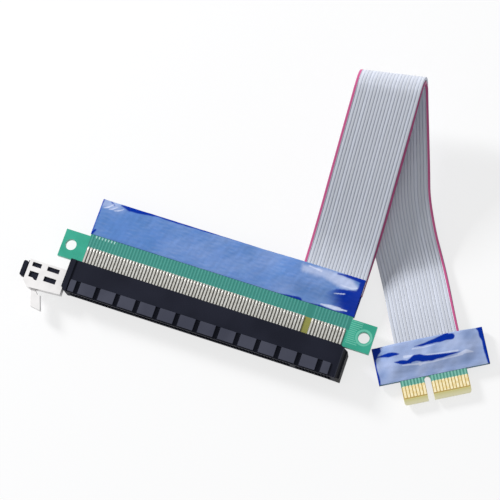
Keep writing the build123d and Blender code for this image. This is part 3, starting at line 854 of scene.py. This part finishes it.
boardLook = {
    "rough": 0.34,
    "gloss": 0.4,
    "mask": tone(52, 169, 143),
    "maskDeep": tone(42, 156, 130),
    "strip": tone(44, 130, 118),
    "stripFrom": 0.0155,  # y
    "stripReach": 0.0424,
    # between the tails: partly the board's brownish tone there, partly painted shade
    "shadedBetweenTails": tone(102, 99, 92),
    "tailsBelow": 0.01555,  # y
    "tailsMiddle": -0.00035,
    "tailsReach": 0.04195,
    "bare": tone(140, 140, 68),
    "bareMiddle": 0.02965,  # the gap in the row of tails
    "bareReach": 0.00105,
    "cloud": (180.0, 3.0),
    "bump": (0.00003, 0.3),
}


def longBoardMaterial(look):
    made = Shader("longBoard", look["rough"], look["gloss"])
    where = made.places()
    x, y = made.split(where)[:2]
    cloud = made.noise(where, *look["cloud"])
    mask = made.patches(cloud, look["mask"], look["maskDeep"])
    behind = made.math("GREATER_THAN", y, look["stripFrom"])
    inStrip = made.math("MULTIPLY", behind, made.within(x, 0.0, look["stripReach"]))
    mask = made.mix(inStrip, mask, look["strip"])
    before = made.math("LESS_THAN", y, look["tailsBelow"])
    inRow = made.within(x, look["tailsMiddle"], look["tailsReach"])
    tails = made.math("MULTIPLY", before, inRow)
    gap = made.within(x, look["bareMiddle"], look["bareReach"])
    # painted shade between the tails
    upper = made.mix(tails, mask, look["shadedBetweenTails"])
    made.colour(made.mix(made.math("MULTIPLY", gap, tails), upper, look["bare"]))
    made.bump(cloud, *look["bump"])
    return made.material


plugBoardLook = {  # the places are along B
    "rough": 0.34,
    "gloss": 0.4,
    "mask": tone(80, 152, 136),
    "maskDeep": tone(68, 140, 124),
    "maskFrom": 0.0016,
    "laminate": tone(232, 224, 150),
    "laminateTip": tone(246, 240, 196),
    "tip": (-0.0036, -0.0019),
    "betweenFingers": tone(192, 164, 88),
    "fingersBelow": -0.0021,
    "cloud": (240.0, 3.0),
    "bump": (0.00003, 0.3),
}


def plugBoardMaterial(look):
    made = Shader("plugBoard", look["rough"], look["gloss"])
    where = made.places(boardPlace["turn"], (*boardPlace["middle"], 0))
    b = made.split(where)[1]
    cloud = made.noise(where, *look["cloud"])
    mask = made.patches(cloud, look["mask"], look["maskDeep"])
    bare = made.mix(made.ramp(b, *look["tip"]), look["laminateTip"], look["laminate"])
    onFingers = made.math("LESS_THAN", b, look["fingersBelow"])
    tab = made.mix(onFingers, look["betweenFingers"], bare)
    made.colour(made.mix(made.math("LESS_THAN", b, look["maskFrom"]), mask, tab))
    made.bump(cloud, *look["bump"])
    return made.material


def dressNode(nodeName, material):
    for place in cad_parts[nodeName].material_slots:
        place.material = material


dressNode("long_board", longBoardMaterial(boardLook))
dressNode("plug_board", plugBoardMaterial(plugBoardLook))

trackFinish = {"rough": 0.3, "gloss": 0.45, "cloud": (700.0, 2.0), "high": 0.00003}
traceLook = {
    **trackFinish,
    "width": 0.00046,
    "near": 0.0155,
    "far": 0.0205,
    "colour": tone(74, 158, 146),
    "deep": tone(64, 146, 134),
}
plugTraceLook = {
    **trackFinish,
    "width": 0.0005,
    "near": 0.00155,
    "far": 0.0041,
    "colour": tone(134, 198, 182),
    "deep": tone(120, 188, 170),
}


def traceMaterial(look, name):
    made = Shader(name, look["rough"], look["gloss"])
    cloud = made.noise(made.places(), *look["cloud"])
    made.colour(made.mix(cloud, look["colour"], look["deep"]))
    return made.material


def makeTraces(name, middles, look, material, turnInto=None):
    # one raised track behind each tail or finger on both faces of its board
    half = look["width"] / 2
    low = joined(middles - half, look["near"], boardTop)
    high = joined(middles + half, look["far"], boardTop + look["high"])
    mesh = blockMesh(name, *onBothFaces(low, high), turnInto)
    finishPiece(name, mesh, material, "riser", smooth=False)


maskedTrace = traceMaterial(traceLook, "maskedTrace")
makeTraces("boardTracks", contactX, traceLook, maskedTrace)
plugTrace = traceMaterial(plugTraceLook, "plugTrack")
makeTraces("plugTracks", fingerA, plugTraceLook, plugTrace, plugToFrame)

dotLook = {
    "rough": 0.5,
    "gloss": 0.3,
    "cloud": (1200.0, 2.0),
    "first": -0.0408,
    "count": 7,
    "step": 0.001,
    "near": 0.0189,
    "size": (0.00034, 0.0008, 0.00004),
    # painted highlight: the glints' colour
    "colour": tone(178, 220, 214),
    "deep": tone(160, 206, 198),
}


def makeDots(look):
    # small whitish marks in a row at the film's edge: painted glints on the solder there
    made = Shader("paintedGlintDots", look["rough"], look["gloss"])
    cloud = made.noise(made.places(), *look["cloud"])
    made.colour(made.mix(cloud, look["colour"], look["deep"]))
    x = look["first"] + look["step"] * np.arange(look["count"])
    low = joined(x, look["near"], boardTop)
    mesh = blockMesh("edgeDots", low, low + look["size"])
    finishPiece("edgeDots", mesh, made.material, "riser", smooth=False)


makeDots(dotLook)

ringLook = {
    "x": 0.0475,
    "y": 0.01467,
    "inner": 0.00195,
    "outer": 0.00262,
    "high": 0.00003,
    "sides": 64,
}
earTrackLook = {
    **trackFinish,
    "left": 0.0425,
    "right": 0.0461,
    "near": 0.0117,
    "step": 0.00062,
    "count": 12,
    "wide": 0.0003,
    "clear": 0.0003,  # between a track's end and the ring
    "colour": tone(104, 196, 172),
    "deep": tone(92, 184, 158),
}


def makeEarTracks(look, ring, material):
    # fine raised lines beside the right screw hole; where the hole's ring is in the
    # way they end at its circle, x = middle - sqrt(radius^2 - y^2)
    y = look["near"] + look["step"] * np.arange(look["count"])
    reach = np.sqrt(np.clip(ring["outer"] ** 2 - (y - ring["y"]) ** 2, 0, None))
    right = np.where(reach > 0, ring["x"] - reach - look["clear"], look["right"])
    low = joined(look["left"], y, boardTop)
    high = joined(np.minimum(right, look["right"]), y + look["wide"], boardTop + look["high"])
    mesh = blockMesh("earTracks", low, high)
    finishPiece("earTracks", mesh, material, "riser", smooth=False)


def makeEarRing(look, material):
    # a flat ring round the right hole, raised a hair: a profile of radius and height
    # carried round a circle
    around = np.linspace(0, 2 * math.pi, look["sides"], endpoint=False)[:, None]
    radius = np.array([look["inner"], look["inner"], look["outer"], look["outer"]])
    height = boardTop + look["high"] * np.array([0, 1, 1, 0])
    x = look["x"] + radius * np.cos(around)
    y = look["y"] + radius * np.sin(around)
    places = joined(x, y, height)
    mesh = gridMesh("earRing", np.concatenate([places, places[:1]])[:, ::-1])
    finishPiece("earRing", mesh, material, "riser", smooth=False)


paleTrack = traceMaterial(earTrackLook, "paleTrack")
makeEarTracks(earTrackLook, ringLook, paleTrack)
makeEarRing(ringLook, paleTrack)
print("boards dressed")


metalLook = {  # bright tone, deep tone, roughness, share of metal
    "tinned": (tone(208, 208, 203), tone(188, 186, 178), 0.38, 0.45),
    "gilt": (tone(254, 244, 206), tone(240, 216, 150), 0.32, 0.55),
    "copper": (tone(196, 128, 96), tone(170, 104, 76), 0.35, 0.9),
    "steel": (tone(170, 172, 176), tone(140, 142, 148), 0.3, 1.0),
    "cloud": (900.0, 3.0),
    "cloudRange": (0.3, 0.75),
    "bump": (0.00003, 0.3),
}


def metalMaterial(name, look, bright, deep, rough, metal):
    made = Shader(name, rough, metal=metal)
    cloud = made.noise(made.places(), *look["cloud"])
    made.colour(made.patches(cloud, bright, deep, *look["cloudRange"]))
    made.bump(cloud, *look["bump"])
    return made.material


tinned = metalMaterial("tinnedContact", metalLook, *metalLook["tinned"])
gilt = metalMaterial("giltFinger", metalLook, *metalLook["gilt"])
copper = metalMaterial("bareCopper", metalLook, *metalLook["copper"])
steel = metalMaterial("pinSteel", metalLook, *metalLook["steel"])
for material, nodeNames in (
    (tinned, ("contacts_upper", "contacts_lower")),
    (gilt, ("fingers_upper", "fingers_lower")),
    (copper, ("wires_long_upper", "wires_long_lower", "wires_plug_upper", "wires_plug_lower")),
    (steel, ("latch_pin",)),
):
    for nodeName in nodeNames:
        dressNode(nodeName, material)

solderLook = {
    "half": 0.00031,
    "near": 0.01385,
    "far": 0.01572,
    "lift": 0.00002,
    "high": 0.00032,
    "grid": (9, 7),  # points along and across a mound
    "roundAcross": 0.6,  # the smaller, the flatter the mound's top
    "roundAlong": 0.4,
}


def makeSolder(look, material):
    # a small mound over each tail's end: height = high x cos(u)^0.6 x cos(v)^0.4, where
    # u and v go from a quarter turn before the middle to a quarter turn after it
    rows, columns = look["grid"]
    u, v = evenGrid((-1, 1), (-1, 1), (columns, rows))
    mound = np.cos(u * math.pi / 2) ** look["roundAcross"]
    mound = mound * np.cos(v * math.pi / 2) ** look["roundAlong"]
    middle, reach = (look["near"] + look["far"]) / 2, (look["far"] - look["near"]) / 2
    x = contactX[:, None] + (u * look["half"]).ravel()
    y = (middle + v * reach).ravel()
    z = (boardTop + look["lift"] + look["high"] * mound).ravel()
    places = np.concatenate([joined(x, y, side * z) for side in (1, -1)])
    quads = gridQuads(np.arange(rows * columns).reshape(rows, columns))
    start = rows * columns * np.arange(len(contactX))[:, None, None]
    faces = np.concatenate([quads + start, quads[:, ::-1] + start + x.size])
    mesh = bpy.data.meshes.new("tailSolder")
    mesh.from_pydata(places.reshape(-1, 3), [], faces.reshape(-1, 4).tolist())
    finishPiece("tailSolder", mesh, material, "riser")


makeSolder(solderLook, tinned)
print("metal dressed")


latchLook = {
    "rough": 0.4,
    "gloss": 0.4,
    "white": tone(240, 238, 237),
    "shade": tone(231, 229, 228),
    "cloud": (300.0, 3.0),
    "grain": (2200.0, 3.0),
    "bump": (0.00003, 0.25),
    "rounding": 0.00022,
    "leverRounding": 0.00014,
    "railRounding": 0.00015,
}


def whiteMaterial(look):
    made = Shader("latchWhite", look["rough"], look["gloss"])
    where = made.places()
    cloud = made.noise(where, *look["cloud"])
    made.colour(made.patches(cloud, look["white"], look["shade"]))
    made.bump(made.noise(where, *look["grain"]), *look["bump"])
    return made.material


latchWhite = whiteMaterial(latchLook)
for nodeName, name, material, body, slotName, rounding in (
    ("latch_frame", "latchSleeve", latchWhite, "riser", "white_plastic", "rounding"),
    ("latch_lever", "latchBlade", latchWhite, "lever", "white_plastic", "leverRounding"),
    ("latch_rail", "latchRailBar", slotPlastic, "riser", "black_plastic", "railRounding"),
):
    piece = roundedShell(nodeName, name, material, body, latchLook[rounding])
    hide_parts(nodeName)
print("latch made")


roomLook = {
    "around": 0.42,  # light from all sides
    "aroundTone": (0.97, 0.98, 1.0, 1),
    "aim": (0.01, 0.04, 0.0),
    "lampTurn": 158,  # degrees about the vertical, from +X
    "lampRise": 27,  # degrees above the floor
    "lampAway": 1.2,
    "lampSize": 0.26,
    "lampShare": 0.58,  # of a level white surface's light
    "floorReach": 6.0,
    "floorTone": (0.93, 0.93, 0.94, 1),
    "floorRough": 0.9,
    "floorWhite": 0.74,  # share of plain white in the floor as the camera sees it
}


def seenBackground(tree):
    # 1 for rays from the camera and for those that gloss or glass sends on
    path = tree.nodes.new("ShaderNodeLightPath")
    seen = path.outputs["Is Camera Ray"]
    for ray in ("Is Glossy Ray", "Is Transmission Ray"):
        either = tree.nodes.new("ShaderNodeMath")
        either.operation = "MAXIMUM"
        tree.links.new(seen, either.inputs[0])
        tree.links.new(path.outputs[ray], either.inputs[1])
        seen = either.outputs[0]
    return seen


def makeFloor(look):
    reach = look["floorReach"]
    corners = [(x * reach, y * reach, floorHeight) for x, y in ((-1, -1), (1, -1), (1, 1), (-1, 1))]
    mesh = bpy.data.meshes.new("floor")
    mesh.from_pydata(corners, [], [(0, 1, 2, 3)])
    floor = bpy.data.objects.new("floor", mesh)
    scene.collection.objects.link(floor)
    white = Shader("floorWhite", look["floorRough"], gloss=0.0)
    white.colour(look["floorTone"])
    glow = white.node("ShaderNodeEmission")
    pick = white.node("ShaderNodeMixShader")
    share = white.math("MULTIPLY", seenBackground(white.tree), look["floorWhite"])
    white.wire(pick.inputs[0], share)
    white.wire(pick.inputs[1], white.main.outputs[0])
    white.wire(pick.inputs[2], glow.outputs[0])
    white.wire(white.tree.nodes["Material Output"].inputs["Surface"], pick.outputs[0])
    mesh.materials.append(white.material)


def makeSurroundings(look):
    world = bpy.data.worlds.new("studio")
    scene.world = world
    world.use_nodes = True
    tree = world.node_tree
    tree.nodes.clear()
    pick = tree.nodes.new("ShaderNodeMixShader")
    tree.links.new(seenBackground(tree), pick.inputs[0])
    for socket, colour, strength in (
        (pick.inputs[1], look["aroundTone"], look["around"]),
        (pick.inputs[2], (1, 1, 1, 1), 1.0),
    ):
        light = tree.nodes.new("ShaderNodeBackground")
        light.inputs[0].default_value = colour
        light.inputs[1].default_value = strength
        tree.links.new(light.outputs[0], socket)
    out = tree.nodes.new("ShaderNodeOutputWorld")
    tree.links.new(pick.outputs[0], out.inputs[0])


def makeLamp(look):
    # a square lamp; a level surface gets power x sin(rise) / (pi^2 distance^2) from it
    turn, rise = math.radians(look["lampTurn"]), math.radians(look["lampRise"])
    data = bpy.data.lights.new("keyLamp", "AREA")
    data.size = look["lampSize"]
    data.energy = look["lampShare"] * math.pi ** 2 * look["lampAway"] ** 2 / math.sin(rise)
    lamp = bpy.data.objects.new("keyLamp", data)
    toward = Matrix.Rotation(turn, 3, "Z") @ Matrix.Rotation(-rise, 3, "Y")
    away = toward.col[0] * look["lampAway"]
    lamp.location = away + Vector(look["aim"])
    lamp.rotation_euler = (-away).to_track_quat("-Z", "Y").to_euler()
    scene.collection.objects.link(lamp)


makeFloor(roomLook)
makeSurroundings(roomLook)
makeLamp(roomLook)
print("room made")
